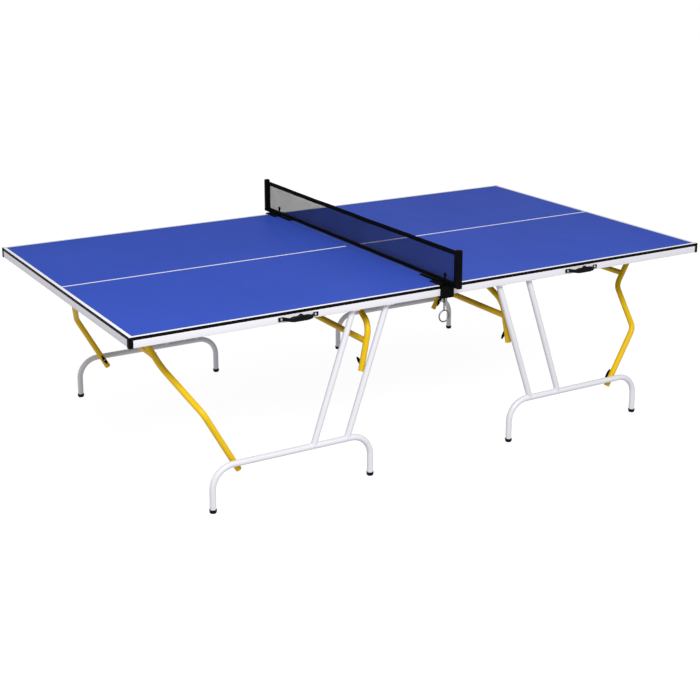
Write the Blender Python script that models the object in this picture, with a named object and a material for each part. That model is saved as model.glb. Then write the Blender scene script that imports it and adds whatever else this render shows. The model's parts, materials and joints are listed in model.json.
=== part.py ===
"""Full-size table tennis table in two halves, with folding leg frames and a clamp-on net.

Metres, +Z up.  The origin is on the floor under the middle of the table, +X runs along the
length, and -Y is the near side.  Every half has a board on a rail frame, a leg frame under
each long side, and an outer and an inner tubular brace that swing on axles under the board.
"""

from math import atan, cos, pi, radians, sin, tan

import bmesh
import bpy
from mathutils import Matrix, Vector

# ---------------------------------------------------------------- driving dimensions
TABLE_LENGTH = 2.74
TABLE_WIDTH = 1.525
TABLE_HEIGHT = 0.76
BOARD_THICK = 0.012
GAP = 0.0003               # left between pieces that touch
SEAM = 0.0006              # between the two halves

RAIL_WIDE = 0.020
RAIL_DEEP = 0.030

TUBE_R = 0.0125
TUBE_SIDES = 3             # bevel resolution of the tubes: ten flats
BEND_STEPS = 5             # straight pieces in each bend

LEG_Y = 0.7335             # plane of a leg frame
FOOT_X = (0.35, 1.05)
BASE_BAR_Z = 0.181
FOOT_BEND_R = 0.090
STAY_TOP_X = (0.275, 0.430)       # inclined tubes, under the rail
STAY_BOTTOM_X = (0.459, 0.612)    # inclined tubes, on the base bar
FOOT_CAP_R = 0.015
FOOT_CAP_TALL = 0.0155

HINGE_Y = 0.7170           # leg hinge pin, at the inner side of the tubes' tops
HINGE_Z = 0.7110
HINGE_PIN_R = 0.0015
HINGE_PLATE = 0.002
HINGE_HALF_WIDE = 0.016
LUG_HALF_WIDE = 0.005
EAR_THICK = 0.003

AXLE_Z = 0.7315            # axles of the braces
OUTER_AXLE_X = 1.255
OUTER_TILT = atan(0.56)
OUTER_Y = 0.700            # straight lower ends of the outer brace's arms
OUTER_SHOULDER_Y = 0.493
OUTER_REACH = (0.2321, 0.3914, 0.6795)   # along the brace: upper bend, lower bend, end
OUTER_BAR_S = 0.170
OUTER_KNOB_S = 0.631
OUTER_BEARING_Y = 0.400
INNER_AXLE_X = 0.310
INNER_TILT = atan(0.193)
INNER_Y = 0.690            # straight lower ends of the inner brace's arms
INNER_SHOULDER_Y = 0.468
INNER_REACH = (0.1100, 0.3005)           # along the brace: bend, end
INNER_BAR_S = 0.1777
INNER_KNOB_S = 0.2683
INNER_BEARING_Y = 0.360

BEARING_HALF_X = 0.016
BEARING_HALF_Y = 0.010
BEARING_BOTTOM_Z = 0.7165
BEARING_BORE_R = 0.0129

KNOB_HALF_LONG = 0.026
KNOB_HALF_WIDE = 0.007
KNOB_THICK = 0.007
KNOB_STEM = 0.007
KNOB_STEM_R = 0.004
KNOB_ASKEW = radians(40)   # how far the near inner knobs stand from the line of their arms

HANDLE_X = 0.690
HANDLE_Z = 0.7335
HANDLE_HALF_TALL = 0.0095
HANDLE_HALF_LONG = 0.086
GRIP_HALF_LONG = 0.046
GRIP_NEAR = 0.0195         # inner side of the grip, out from the rail
GRIP_FAR = 0.0325
STRAP_THICK = 0.0042

CAP_SIDE = 0.018
CAP_THICK = 0.002

CLAMP_X = -0.010
CLAMP_HALF_WIDE = 0.030
JAW_THICK = 0.004
JAW_INNER_Y = 0.684
TONGUE_X = (-0.017, 0.011)        # narrow arm of the upper jaw, under the foot of the net
TONGUE_INNER_Y = 0.574
TONGUE_THICK = 0.0034
WEB_THICK = 0.012
LOWER_JAW_INNER_Y = 0.715
LOWER_JAW_Z = (0.7085, 0.7145)
SCREW_Y = 0.750
SCREW_R = 0.004
SCREW_PAD_R = 0.009
RING_Z = 0.6265
RING_R = 0.024
RING_WIRE_R = 0.0030
GUIDE_X = CLAMP_X + 0.011
GUIDE_BOTTOM_Z = 0.662
GUIDE_R = 0.003
PIN_Y = 0.723
PIN_X = 0.010
PIN_R = 0.005
PIN_TOP_Z = 0.800

POST_Y = 0.833
POST_HALF_X = 0.011
POST_HALF_Y = 0.010
POST_TOP_Z = 0.920
NET_TOP_Z = 0.9125
NET_THICK = 0.0015

# ---------------------------------------------------------------- derived dimensions
HALF_LENGTH = TABLE_LENGTH / 2
HALF_WIDTH = TABLE_WIDTH / 2
BOARD_Z = TABLE_HEIGHT - BOARD_THICK
RAIL_TOP_Z = BOARD_Z - GAP
RAIL_BOTTOM_Z = BOARD_Z - RAIL_DEEP
HINGE_PLATE_Z = RAIL_BOTTOM_Z - GAP - HINGE_PLATE
LEG_TOP_Z = HINGE_PLATE_Z - 0.0005
JAW_Z = TABLE_HEIGHT + GAP
WEB_Y = HALF_WIDTH + GAP
ARM_END_Y = POST_Y + POST_HALF_Y
NET_BOTTOM_Z = JAW_Z + JAW_THICK + GAP

# ---------------------------------------------------------------- a clean scene
for old in list(bpy.data.objects):
    bpy.data.objects.remove(old, do_unlink=True)

PARTS = bpy.data.collections.new("table_tennis_table")
CUTTERS = bpy.data.collections.new("cutters")
bpy.context.scene.collection.children.link(PARTS)
bpy.context.scene.collection.children.link(CUTTERS)


def material(name, colour, roughness, metallic=0.0):
    """A Principled material with the sub-part's colour."""
    made = bpy.data.materials.new(name)
    made.use_nodes = True
    shader = made.node_tree.nodes["Principled BSDF"]
    shader.inputs["Base Color"].default_value = (*colour, 1.0)
    shader.inputs["Roughness"].default_value = roughness
    shader.inputs["Metallic"].default_value = metallic
    return made


BLUE = material("blue_playing_surface", (0.045, 0.085, 0.480), 0.45)
WHITE = material("white_powder_coat", (0.830, 0.825, 0.850), 0.40)
YELLOW = material("yellow_powder_coat", (0.820, 0.520, 0.015), 0.35)
BLACK = material("black_plastic", (0.012, 0.012, 0.013), 0.50)
RUBBER = material("black_rubber", (0.010, 0.010, 0.010), 0.80)
STEEL = material("zinc_plated_steel", (0.450, 0.450, 0.460), 0.35, 1.0)
MESH = material("black_net", (0.015, 0.015, 0.018), 0.90)


# ---------------------------------------------------------------- building blocks
def finish(obj, look, collection=PARTS):
    """Link an object, give it its material and shade its round faces smooth."""
    collection.objects.link(obj)
    obj.data.materials.clear()
    obj.data.materials.append(look)
    if isinstance(obj.data, bpy.types.Mesh):
        obj.data.shade_smooth()
        obj.data.set_sharp_from_angle(angle=radians(35))
    return obj


def as_cutter(obj):
    """Hide a cutter or a piece that a Boolean joins to another."""
    PARTS.objects.unlink(obj)
    CUTTERS.objects.link(obj)
    obj.hide_render = True
    obj.display_type = 'WIRE'
    return obj


def from_bmesh(name, bm, look):
    """Turn a bmesh into an object."""
    bmesh.ops.recalc_face_normals(bm, faces=bm.faces)
    mesh = bpy.data.meshes.new(name)
    bm.to_mesh(mesh)
    bm.free()
    return finish(bpy.data.objects.new(name, mesh), look)


def box(name, low, high, look):
    """A box between two opposite corners, given in any order."""
    low, high = Vector(low), Vector(high)
    size = Vector(abs(a - b) for a, b in zip(low, high))
    bm = bmesh.new()
    bmesh.ops.create_cube(bm, size=1.0)
    bmesh.ops.scale(bm, vec=size, verts=bm.verts)
    bmesh.ops.translate(bm, vec=(low + high) / 2, verts=bm.verts)
    return from_bmesh(name, bm, look)


def rod(name, start, end, radius, look, sides=16, end_radius=None):
    """A straight round bar, or a cone, between two points."""
    start, end = Vector(start), Vector(end)
    along = end - start
    bm = bmesh.new()
    bmesh.ops.create_cone(
        bm, cap_ends=True, segments=sides, radius1=radius,
        radius2=radius if end_radius is None else end_radius, depth=along.length,
    )
    turn = Vector((0, 0, 1)).rotation_difference(along).to_matrix().to_4x4()
    bmesh.ops.transform(bm, matrix=Matrix.Translation((start + end) / 2) @ turn, verts=bm.verts)
    return from_bmesh(name, bm, look)


def rounded_path(corners, radii):
    """The corners of a path, with each inner corner replaced by an arc."""
    points = [Vector(corners[0])]
    for before, corner, after, radius in zip(corners, corners[1:], corners[2:], radii):
        corner = Vector(corner)
        back = (Vector(before) - corner).normalized()
        ahead = (Vector(after) - corner).normalized()
        half = back.angle(ahead) / 2
        inward = (back + ahead).normalized()
        centre = corner + inward * (radius / sin(half))
        start = corner + back * (radius / tan(half))
        arm = start - centre
        spin = ahead.cross(back).normalized()
        sweep = pi - 2 * half
        for step in range(BEND_STEPS + 1):
            turn = Matrix.Rotation(sweep * step / BEND_STEPS, 3, spin)
            points.append(centre + turn @ arm)
    points.append(Vector(corners[-1]))
    return points


def tube(name, points, look, radius=TUBE_R):
    """A bent tube: a curve with a round bevel, turned into a closed mesh."""
    curve = bpy.data.curves.new(name, 'CURVE')
    curve.dimensions = '3D'
    curve.bevel_depth = radius
    curve.bevel_resolution = TUBE_SIDES
    curve.use_fill_caps = True
    spline = curve.splines.new('POLY')
    spline.points.add(len(points) - 1)
    for knot, point in zip(spline.points, points):
        knot.co = (*point, 1.0)
    bent = bpy.data.objects.new(name + "_curve", curve)
    PARTS.objects.link(bent)
    bpy.context.view_layer.update()
    evaluated = bent.evaluated_get(bpy.context.evaluated_depsgraph_get())
    mesh = bpy.data.meshes.new_from_object(evaluated)
    place = bent.matrix_world.copy()
    bpy.data.objects.remove(bent, do_unlink=True)
    bm = bmesh.new()
    bm.from_mesh(mesh)
    bmesh.ops.remove_doubles(bm, verts=bm.verts, dist=0.00005)
    bm.to_mesh(mesh)
    bm.free()
    made = bpy.data.objects.new(name, mesh)
    made.matrix_world = place
    return finish(made, look)


def boolean(obj, operation, other):
    """Join another object to this one, or cut it away."""
    step = obj.modifiers.new(operation.lower(), 'BOOLEAN')
    step.operation = operation
    step.solver = 'EXACT'
    step.object = as_cutter(other)


def pivot(name, place):
    """An empty on a joint's axis."""
    empty = bpy.data.objects.new(name, None)
    empty.empty_display_size = 0.05
    empty.location = place
    PARTS.objects.link(empty)
    return empty


def hang(obj, empty):
    """Parent an object to a joint's empty and leave it where it is."""
    obj.parent = empty
    obj.matrix_parent_inverse = Matrix.Translation(-Vector(empty.location))


# ---------------------------------------------------------------- table tops
def board(half, sx):
    """The playing surface of one half."""
    box(f"{half}_board", (sx * SEAM / 2, -HALF_WIDTH, BOARD_Z),
        (sx * HALF_LENGTH, HALF_WIDTH, TABLE_HEIGHT), BLUE)


def rail_frame(half, sx):
    """The welded rail frame under a board, shown at its edge as a white apron."""
    ring = box(f"{half}_frame", (sx * SEAM / 2, -HALF_WIDTH, RAIL_BOTTOM_Z),
               (sx * HALF_LENGTH, HALF_WIDTH, RAIL_TOP_Z), WHITE)
    inside_y = HALF_WIDTH - RAIL_WIDE
    hollow = box(f"{half}_frame_hollow",
                 (sx * (SEAM / 2 + RAIL_WIDE), -inside_y, RAIL_BOTTOM_Z - RAIL_DEEP),
                 (sx * (HALF_LENGTH - RAIL_WIDE), inside_y, RAIL_TOP_Z + RAIL_DEEP), WHITE)
    boolean(ring, 'DIFFERENCE', hollow)


def corner_cap(quarter, sx, sy):
    """The moulded cap over an outer corner of a half."""
    outer_x = HALF_LENGTH + GAP + CAP_THICK
    outer_y = HALF_WIDTH + GAP + CAP_THICK
    low_z = RAIL_BOTTOM_Z - 0.0005
    high_z = TABLE_HEIGHT - 0.0003
    cap = box(f"{quarter}_corner_cap", (sx * (HALF_LENGTH - CAP_SIDE), sy * (HALF_WIDTH - CAP_SIDE),
              low_z), (sx * outer_x, sy * outer_y, high_z), BLACK)
    corner = box(f"{quarter}_corner", (sx * 1.0, sy * 0.5, low_z - 0.01),
                 (sx * (HALF_LENGTH + GAP), sy * (HALF_WIDTH + GAP), high_z + 0.01), BLACK)
    boolean(cap, 'DIFFERENCE', corner)


def handle(quarter, sx, sy):
    """A bowed carry handle screwed to the rail at the middle of a long side."""
    slope = 0.021
    outline = [
        (-HANDLE_HALF_LONG, GAP),
        (-GRIP_HALF_LONG - slope, GAP),
        (-GRIP_HALF_LONG, GRIP_NEAR),
        (GRIP_HALF_LONG, GRIP_NEAR),
        (GRIP_HALF_LONG + slope, GAP),
        (HANDLE_HALF_LONG, GAP),
        (HANDLE_HALF_LONG, STRAP_THICK),
        (GRIP_HALF_LONG + slope, STRAP_THICK + 0.001),
        (GRIP_HALF_LONG + 0.004, GRIP_NEAR + 0.005),
        (GRIP_HALF_LONG, GRIP_FAR),
        (-GRIP_HALF_LONG, GRIP_FAR),
        (-GRIP_HALF_LONG - 0.004, GRIP_NEAR + 0.005),
        (-GRIP_HALF_LONG - slope, STRAP_THICK + 0.001),
        (-HANDLE_HALF_LONG, STRAP_THICK),
    ]
    bm = bmesh.new()
    low_z = HANDLE_Z - HANDLE_HALF_TALL
    low = [bm.verts.new((sx * HANDLE_X + x, sy * (HALF_WIDTH + out), low_z)) for x, out in outline]
    face = bm.faces.new(low)
    raised = bmesh.ops.extrude_face_region(bm, geom=[face])
    top = [v for v in raised["geom"] if isinstance(v, bmesh.types.BMVert)]
    bmesh.ops.translate(bm, vec=(0, 0, 2 * HANDLE_HALF_TALL), verts=top)
    from_bmesh(f"{quarter}_handle", bm, RUBBER)


# ---------------------------------------------------------------- leg frames
def leg_hinge(name, sy, x):
    """The fixed half of a leg hinge: a plate under the rail, two ears and the pin."""
    plate = box(name, (x - HINGE_HALF_WIDE, sy * (HINGE_Y - 0.0065), HINGE_PLATE_Z),
                (x + HINGE_HALF_WIDE, sy * (HALF_WIDTH - 0.001), RAIL_BOTTOM_Z - GAP), WHITE)
    for side in (-1, 1):
        near = LUG_HALF_WIDE + GAP
        ear = box(f"{name}_ear", (x + side * near, sy * (HINGE_Y - 0.0045), HINGE_Z - 0.0025),
                  (x + side * (near + EAR_THICK), sy * (HINGE_Y + 0.0025), HINGE_PLATE_Z + 0.001),
                  WHITE)
        boolean(plate, 'UNION', ear)
    reach = LUG_HALF_WIDE + GAP + EAR_THICK + 0.001
    pin = rod(f"{name}_pin", (x - reach, sy * HINGE_Y, HINGE_Z), (x + reach, sy * HINGE_Y, HINGE_Z),
              HINGE_PIN_R, WHITE, sides=12)
    boolean(plate, 'UNION', pin)


def leg(quarter, sx, sy):
    """A leg frame: a bent base tube, two inclined tubes and their hinge lugs."""
    y = sy * LEG_Y
    low_z = FOOT_CAP_TALL + GAP
    inner, outer = (sx * x for x in FOOT_X)
    corners = [(inner, y, low_z), (inner, y, BASE_BAR_Z), (outer, y, BASE_BAR_Z), (outer, y, low_z)]
    frame = tube(f"{quarter}_leg", rounded_path(corners, (FOOT_BEND_R, FOOT_BEND_R)), WHITE)
    for top_x, bottom_x in zip(STAY_TOP_X, STAY_BOTTOM_X):
        foot = Vector((sx * bottom_x, y, BASE_BAR_Z))
        head = Vector((sx * top_x, y, LEG_TOP_Z))
        past = head + (head - foot).normalized() * 2 * TUBE_R
        boolean(frame, 'UNION', tube(f"{quarter}_stay", [foot, past], WHITE))
        lug = box(f"{quarter}_lug",
                  (sx * top_x - LUG_HALF_WIDE, sy * (HINGE_Y - 0.0035), HINGE_Z - 0.0026),
                  (sx * top_x + LUG_HALF_WIDE, sy * (LEG_Y - 0.0040), HINGE_Z + 0.0024), WHITE)
        boolean(frame, 'UNION', lug)
    trim = box(f"{quarter}_leg_trim", (sx * 0.1, sy * (LEG_Y - 0.05), LEG_TOP_Z),
               (sx * 0.6, sy * (LEG_Y + 0.05), LEG_TOP_Z + 0.1), WHITE)
    boolean(frame, 'DIFFERENCE', trim)
    bore = rod(f"{quarter}_lug_bore", (0, sy * HINGE_Y, HINGE_Z), (sx * 0.7, sy * HINGE_Y, HINGE_Z),
               HINGE_PIN_R + 0.0003, WHITE, sides=12)
    boolean(frame, 'DIFFERENCE', bore)
    return frame


def foot_cap(name, x, y):
    """A rubber foot with a rounded lower edge, pushed over the end of a leg tube."""
    profile = [(0.0, FOOT_CAP_TALL), (FOOT_CAP_R * 0.95, FOOT_CAP_TALL),
               (FOOT_CAP_R, FOOT_CAP_TALL * 0.88), (FOOT_CAP_R * 0.96, FOOT_CAP_TALL * 0.50),
               (FOOT_CAP_R * 0.86, FOOT_CAP_TALL * 0.15), (FOOT_CAP_R * 0.74, 0.0), (0.0, 0.0)]
    bm = bmesh.new()
    ring = [bm.verts.new((radius, 0, z)) for radius, z in profile]
    edges = [bm.edges.new(pair) for pair in zip(ring, ring[1:])]
    bmesh.ops.spin(bm, geom=ring + edges, cent=(0, 0, 0), axis=(0, 0, 1), angle=2 * pi, steps=16)
    bmesh.ops.remove_doubles(bm, verts=bm.verts, dist=0.00005)
    bmesh.ops.translate(bm, vec=(x, y, 0), verts=bm.verts)
    return from_bmesh(name, bm, RUBBER)


# ---------------------------------------------------------------- braces
def brace_point(sx, axle_x, tilt, y, along):
    """A point of a brace, from its place across the table and its distance from the axle."""
    return Vector((sx * (axle_x + along * sin(tilt)), y, AXLE_Z - along * cos(tilt)))


def brace(name, sx, axle_x, tilt, arm, radii, bar):
    """A flat tubular frame: one bent tube with the axle in its middle, and a cross bar."""
    there = [brace_point(sx, axle_x, tilt, -y, along) for y, along in arm]
    back = [brace_point(sx, axle_x, tilt, y, along) for y, along in reversed(arm)]
    path = rounded_path(there + back, radii + tuple(reversed(radii)))
    frame = tube(name, path, YELLOW)
    bar_y, bar_along = bar
    ends = [brace_point(sx, axle_x, tilt, side * bar_y, bar_along) for side in (-1, 1)]
    boolean(frame, 'UNION', tube(f"{name}_bar", ends, YELLOW))
    return frame


def knob(name, sx, sy, arm_y, axle_x, tilt, along, askew):
    """An oval clamping knob on the inner face of a brace arm."""
    place = brace_point(sx, axle_x, tilt, sy * (arm_y - TUBE_R - GAP), along)
    inward = Vector((0, -sy, 0))
    stem = rod(f"{name}_stem", place, place + inward * (KNOB_STEM + 0.001), KNOB_STEM_R, BLACK, 12)
    start = place + inward * KNOB_STEM
    bm = bmesh.new()
    bmesh.ops.create_cone(bm, cap_ends=True, segments=20, radius1=1, radius2=1, depth=KNOB_THICK)
    bmesh.ops.rotate(bm, matrix=Matrix.Rotation(pi / 2, 3, 'X'), verts=bm.verts)
    bmesh.ops.scale(bm, vec=(KNOB_HALF_WIDE, 1, KNOB_HALF_LONG), verts=bm.verts)
    lean = Matrix.Rotation(-sx * (tilt - askew), 3, 'Y')
    bmesh.ops.rotate(bm, matrix=lean, verts=bm.verts)
    bmesh.ops.translate(bm, vec=start + inward * KNOB_THICK / 2, verts=bm.verts)
    oval = from_bmesh(name, bm, BLACK)
    boolean(oval, 'UNION', stem)
    return oval, place


def bearing(name, sx, axle_x, y):
    """A moulded block that carries a brace's axle under the board."""
    x = sx * axle_x
    block = box(name, (x - BEARING_HALF_X, y - BEARING_HALF_Y, BEARING_BOTTOM_Z),
                (x + BEARING_HALF_X, y + BEARING_HALF_Y, BOARD_Z - GAP), BLACK)
    bore = rod(f"{name}_bore", (x, y - 0.03, AXLE_Z), (x, y + 0.03, AXLE_Z), BEARING_BORE_R, BLACK)
    boolean(block, 'DIFFERENCE', bore)


# ---------------------------------------------------------------- net set
def clamp(side, sy):
    """A C-shaped clamp over the table's edge, with the arm that carries the net post."""
    left = CLAMP_X - CLAMP_HALF_WIDE
    right = CLAMP_X + CLAMP_HALF_WIDE
    body = box(f"{side}_clamp", (left, sy * JAW_INNER_Y, JAW_Z),
               (right, sy * (WEB_Y + WEB_THICK), JAW_Z + JAW_THICK), BLACK)
    arm = box(f"{side}_arm", (-POST_HALF_X, sy * (WEB_Y + 0.001), JAW_Z),
              (POST_HALF_X, sy * ARM_END_Y, JAW_Z + JAW_THICK), BLACK)
    web = box(f"{side}_web", (left, sy * WEB_Y, LOWER_JAW_Z[0]),
              (right, sy * (WEB_Y + WEB_THICK), JAW_Z + 0.001), BLACK)
    lower = box(f"{side}_lower_jaw", (left, sy * LOWER_JAW_INNER_Y, LOWER_JAW_Z[0]),
                (right, sy * (WEB_Y + 0.001), LOWER_JAW_Z[1]), BLACK)
    guide = rod(f"{side}_guide", (GUIDE_X, sy * SCREW_Y, LOWER_JAW_Z[1] - 0.001),
                (GUIDE_X, sy * SCREW_Y, GUIDE_BOTTOM_Z), GUIDE_R, BLACK, sides=10)
    pin = rod(f"{side}_pin", (PIN_X, sy * PIN_Y, JAW_Z + 0.001), (PIN_X, sy * PIN_Y, PIN_TOP_Z),
              PIN_R, BLACK, sides=12)
    tongue = box(f"{side}_tongue", (TONGUE_X[0], sy * TONGUE_INNER_Y, JAW_Z),
                 (TONGUE_X[1], sy * (JAW_INNER_Y + 0.001), JAW_Z + TONGUE_THICK), BLACK)
    for piece in (arm, web, lower, guide, pin, tongue):
        boolean(body, 'UNION', piece)
    bore = rod(f"{side}_screw_bore", (CLAMP_X, sy * SCREW_Y, 0.70), (CLAMP_X, sy * SCREW_Y, 0.72),
               SCREW_R + 0.0004, BLACK)
    boolean(body, 'DIFFERENCE', bore)


def clamp_screw(side, sy):
    """The clamp's screw: a pad under the rail, the rod and the ring that turns it."""
    x, y = CLAMP_X, sy * SCREW_Y
    pad_z = LOWER_JAW_Z[1] + 0.0005
    screw = rod(f"{side}_clamp_screw", (x, y, pad_z), (x, y, RAIL_BOTTOM_Z - GAP), SCREW_PAD_R,
                STEEL)
    stem = rod(f"{side}_screw_rod", (x, y, pad_z + 0.001), (x, y, RING_Z + RING_R), SCREW_R, STEEL,
               sides=12)
    boolean(screw, 'UNION', stem)
    around = []
    for step in range(25):
        angle = pi / 2 + 2 * pi * step / 24
        around.append(Vector((x + RING_R * cos(angle), y, RING_Z + RING_R * sin(angle))))
    ring = ring_of_wire(f"{side}_ring", around[:-1])
    boolean(screw, 'UNION', ring)
    return screw, (x, y, RING_Z)


def ring_of_wire(name, points):
    """A closed loop of round wire through the given points."""
    curve = bpy.data.curves.new(name, 'CURVE')
    curve.dimensions = '3D'
    curve.bevel_depth = RING_WIRE_R
    curve.bevel_resolution = 2
    spline = curve.splines.new('POLY')
    spline.points.add(len(points) - 1)
    for knot, point in zip(spline.points, points):
        knot.co = (*point, 1.0)
    spline.use_cyclic_u = True
    loop = bpy.data.objects.new(name + "_curve", curve)
    PARTS.objects.link(loop)
    bpy.context.view_layer.update()
    mesh = bpy.data.meshes.new_from_object(
        loop.evaluated_get(bpy.context.evaluated_depsgraph_get()))
    bpy.data.objects.remove(loop, do_unlink=True)
    return finish(bpy.data.objects.new(name, mesh), STEEL)


def net_set():
    """Net, posts, clamps and screws."""
    half_net = POST_Y - POST_HALF_Y - GAP
    box("net", (-NET_THICK / 2, -half_net, NET_BOTTOM_Z), (NET_THICK / 2, half_net, NET_TOP_Z), MESH)
    for side, sy in (("near", -1), ("far", 1)):
        clamp(side, sy)
        box(f"{side}_post", (-POST_HALF_X, sy * (POST_Y - POST_HALF_Y), JAW_Z + JAW_THICK + GAP),
            (POST_HALF_X, sy * ARM_END_Y, POST_TOP_Z), BLACK)
        screw, place = clamp_screw(side, sy)
        hang(screw, pivot(f"{side}_screw_axis", place))


# ---------------------------------------------------------------- assembly
def half_table(half, sx):
    """One half: its top, both braces with bearings and knobs, and both leg frames."""
    board(half, sx)
    rail_frame(half, sx)
    outer_arm = [(OUTER_Y, OUTER_REACH[2]), (OUTER_Y, OUTER_REACH[1]),
                 (OUTER_SHOULDER_Y, OUTER_REACH[0]), (OUTER_SHOULDER_Y, 0.0)]
    inner_arm = [(INNER_Y, INNER_REACH[1]), (INNER_Y, INNER_REACH[0]), (INNER_SHOULDER_Y, 0.0)]
    braces = (
        ("outer", OUTER_AXLE_X, -OUTER_TILT, outer_arm, (0.05, 0.06, 0.035),
         (OUTER_SHOULDER_Y, OUTER_BAR_S), OUTER_KNOB_S, OUTER_BEARING_Y),
        ("inner", INNER_AXLE_X, INNER_TILT, inner_arm, (0.07, 0.07),
         (INNER_Y, INNER_BAR_S), INNER_KNOB_S, INNER_BEARING_Y),
    )
    for which, axle_x, tilt, arm, radii, bar, knob_s, bearing_y in braces:
        axle = pivot(f"{half}_{which}_brace_axle", (sx * axle_x, 0, AXLE_Z))
        hang(brace(f"{half}_{which}_brace", sx, axle_x, tilt, arm, radii, bar), axle)
        for side, sy in (("near", -1), ("far", 1)):
            bearing(f"{half}_{side}_{which}_bearing", sx, axle_x, sy * bearing_y)
            askew = KNOB_ASKEW if (side, which) == ("near", "inner") else 0.0
            grip, place = knob(f"{half}_{side}_{which}_knob", sx, sy, arm[0][0], axle_x, tilt,
                               knob_s, askew)
            hang(grip, pivot(f"{half}_{side}_{which}_knob_axis", place))
    for side, sy in (("near", -1), ("far", 1)):
        quarter = f"{half}_{side}"
        corner_cap(quarter, sx, sy)
        handle(quarter, sx, sy)
        pin = pivot(f"{quarter}_leg_axis", (sx * STAY_TOP_X[0], sy * HINGE_Y, HINGE_Z))
        hang(leg(quarter, sx, sy), pin)
        for which, top_x, foot_x in zip(("inner", "outer"), STAY_TOP_X, FOOT_X):
            leg_hinge(f"{quarter}_{which}_leg_hinge", sy, sx * top_x)
            hang(foot_cap(f"{quarter}_{which}_foot", sx * foot_x, sy * LEG_Y), pin)


for half_name, x_sign in (("left", -1), ("right", 1)):
    half_table(half_name, x_sign)
net_set()
bpy.context.view_layer.update()
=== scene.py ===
"""Looks of the table tennis table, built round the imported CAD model.

Metres, +Z up, in the frame's own axes: +X along the table, -Y towards the near side.
"""

import json
from math import atan, cos, pi, radians, sin, tan

import bmesh
import bpy
from mathutils import Matrix, Vector


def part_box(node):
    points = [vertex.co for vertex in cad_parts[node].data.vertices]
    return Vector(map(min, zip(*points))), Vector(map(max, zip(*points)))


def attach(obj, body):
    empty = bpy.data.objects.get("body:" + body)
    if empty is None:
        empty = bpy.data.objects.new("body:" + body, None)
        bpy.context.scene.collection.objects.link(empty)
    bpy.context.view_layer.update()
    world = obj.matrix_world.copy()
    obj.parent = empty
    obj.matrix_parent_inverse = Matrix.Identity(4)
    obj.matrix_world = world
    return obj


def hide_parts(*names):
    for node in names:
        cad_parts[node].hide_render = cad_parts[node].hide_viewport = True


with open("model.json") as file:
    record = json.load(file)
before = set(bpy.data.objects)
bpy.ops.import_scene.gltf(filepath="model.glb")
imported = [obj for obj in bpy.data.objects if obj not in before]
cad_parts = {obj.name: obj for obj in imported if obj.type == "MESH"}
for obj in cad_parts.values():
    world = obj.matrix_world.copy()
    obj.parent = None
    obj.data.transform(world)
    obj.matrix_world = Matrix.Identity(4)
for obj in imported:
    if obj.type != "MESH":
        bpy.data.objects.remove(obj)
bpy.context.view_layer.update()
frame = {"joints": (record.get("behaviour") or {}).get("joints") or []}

# ---------------------------------------------------------------- sizes of the frame
TUBE_R = 0.0125
TUBE_SIDES = 24
BEND_STEPS = 14
BEAD_R = 0.0016

BOARD_LOW, BOARD_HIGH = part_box("right_board")
RAIL_LOW, RAIL_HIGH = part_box("right_frame")
HALF_LENGTH = BOARD_HIGH.x
HALF_WIDTH = BOARD_HIGH.y
SEAM_X = BOARD_LOW.x
RAIL_WIDE = 0.020
RAIL_SCREW_X = (0.17, 0.98)
GAP = 0.0003               # between the table and what is fitted on it

BORDER_WIDE = 0.0150
CENTRE_LINE_WIDE = 0.0105
CENTRE_LINE_STOP = 0.032   # the centre line ends this far from the net

BASE_BAR_Z = 0.181
FOOT_BEND_R = 0.090
STAY_TOP_X = (0.275, 0.430)
STAY_BOTTOM_X = (0.459, 0.612)

AXLE_Z = 0.7315
# A brace's arm runs from its tip to its axle, as (distance from the table's middle line, distance
# from the axle); its bar is at one such place, and its knob at a distance from the axle.
OUTER = {
    "axle_x": 1.255, "tilt": -atan(0.56), "radii": (0.05, 0.06, 0.035),
    "arm": ((0.700, 0.6795), (0.700, 0.3914), (0.493, 0.2321), (0.493, 0.0)),
    "bar": (0.493, 0.170), "knob": 0.631,
}
INNER = {
    "axle_x": 0.310, "tilt": atan(0.193), "radii": (0.07, 0.07),
    "arm": ((0.690, 0.3005), (0.690, 0.1100), (0.468, 0.0)),
    "bar": (0.690, 0.1777), "knob": 0.2683,
}

KNOB_ASKEW = radians(40)   # how far the near inner knobs stand from the line of their arms

# The clamp's parts: their distance from the table's middle line, their heights and thicknesses
JAW_Y = 0.684
LOWER_JAW_Y = 0.715
LOWER_JAW_Z = (0.7085, 0.7145)
WEB_THICK = 0.0120
POST_ARM_Y = 0.843
TONGUE_X = (-0.017, 0.011)   # the narrow arm of the upper jaw, under the foot of the net
TONGUE_Y = 0.574
TONGUE_THICK = 0.0034
PEG_PLACE = (0.010, 0.723)
GUIDE_FROM_SCREW = 0.011
GUIDE_R = 0.003
SCREW_R = 0.0040
RING_R = 0.024
RING_WIRE_R = 0.0030

SIDES = (("near", -1), ("far", 1))
HALVES = (("left", -1), ("right", 1))


def joint_place(name):
    """Where one of the frame's joints sits: X, Y and Z."""
    return next(joint["pos_m"] for joint in frame["joints"] if joint["name"] == name)


# ---------------------------------------------------------------- materials
def shader_graph(name, roughness, metallic=0.0):
    """A new material, its node tree and its Principled shader."""
    made = bpy.data.materials.new(name)
    made.use_nodes = True
    tree = made.node_tree
    shader = tree.nodes["Principled BSDF"]
    shader.inputs["Roughness"].default_value = roughness
    shader.inputs["Metallic"].default_value = metallic
    return made, tree, shader


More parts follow.
